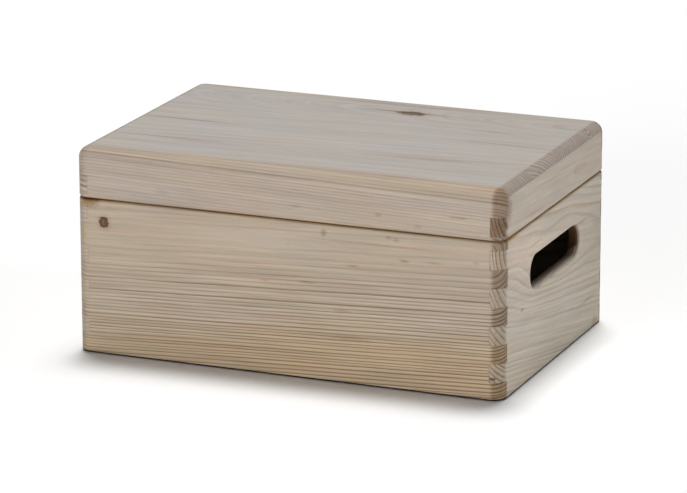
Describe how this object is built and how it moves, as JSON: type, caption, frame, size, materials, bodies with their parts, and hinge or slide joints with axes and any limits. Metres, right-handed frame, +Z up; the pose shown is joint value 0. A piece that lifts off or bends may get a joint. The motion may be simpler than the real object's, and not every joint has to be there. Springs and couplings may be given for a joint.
{
  "type": "wooden toy box",
  "caption": "Rectangular pine box with a hinged lid, finger-jointed rounded corners, a hand slot in each end and two butt hinges at the back.",
  "frame": {"origin": "centre of the base, on the surface that the box stands on", "axes": "+X to the right along the length, +Y to the back where the hinges are, +Z up"},
  "size_m": [0.3, 0.204, 0.14],
  "materials": {
    "pine_body": "sanded, unfinished pine",
    "pine_lid": "sanded, unfinished pine",
    "pine_top": "sanded, unfinished pine, edge-glued",
    "plywood": "sanded plywood",
    "hinge_brass": "brass-plated, lightly brushed",
    "pin_steel": "drawn steel wire",
    "screw_brass": "brass-plated"
  },
  "bodies": {
    "body": {"front_panel": "pine_body", "back_panel": "pine_body", "left_side_panel": "pine_body", "right_side_panel": "pine_body", "bottom_panel": "plywood", "left_hinge_body_leaf": "hinge_brass", "left_hinge_pin": "pin_steel", "right_hinge_body_leaf": "hinge_brass", "right_hinge_pin": "pin_steel", "body_hinge_screws": "screw_brass"},
    "lid": {"lid_front_rail": "pine_lid", "lid_back_rail": "pine_lid", "lid_left_rail": "pine_lid", "lid_right_rail": "pine_lid", "lid_stave_1": "pine_top", "lid_stave_2": "pine_top", "lid_stave_3": "pine_top", "lid_stave_4": "pine_top", "left_hinge_lid_leaf": "hinge_brass", "right_hinge_lid_leaf": "hinge_brass", "lid_hinge_screws": "screw_brass"}
  },
  "joints": [
    {"name": "lid_hinge", "type": "hinge", "parent": "body", "child": "lid", "pos_m": [0, 0.102, 0.10625], "axis": [-1, 0, 0], "range_deg": [0, 180]}
  ]
}
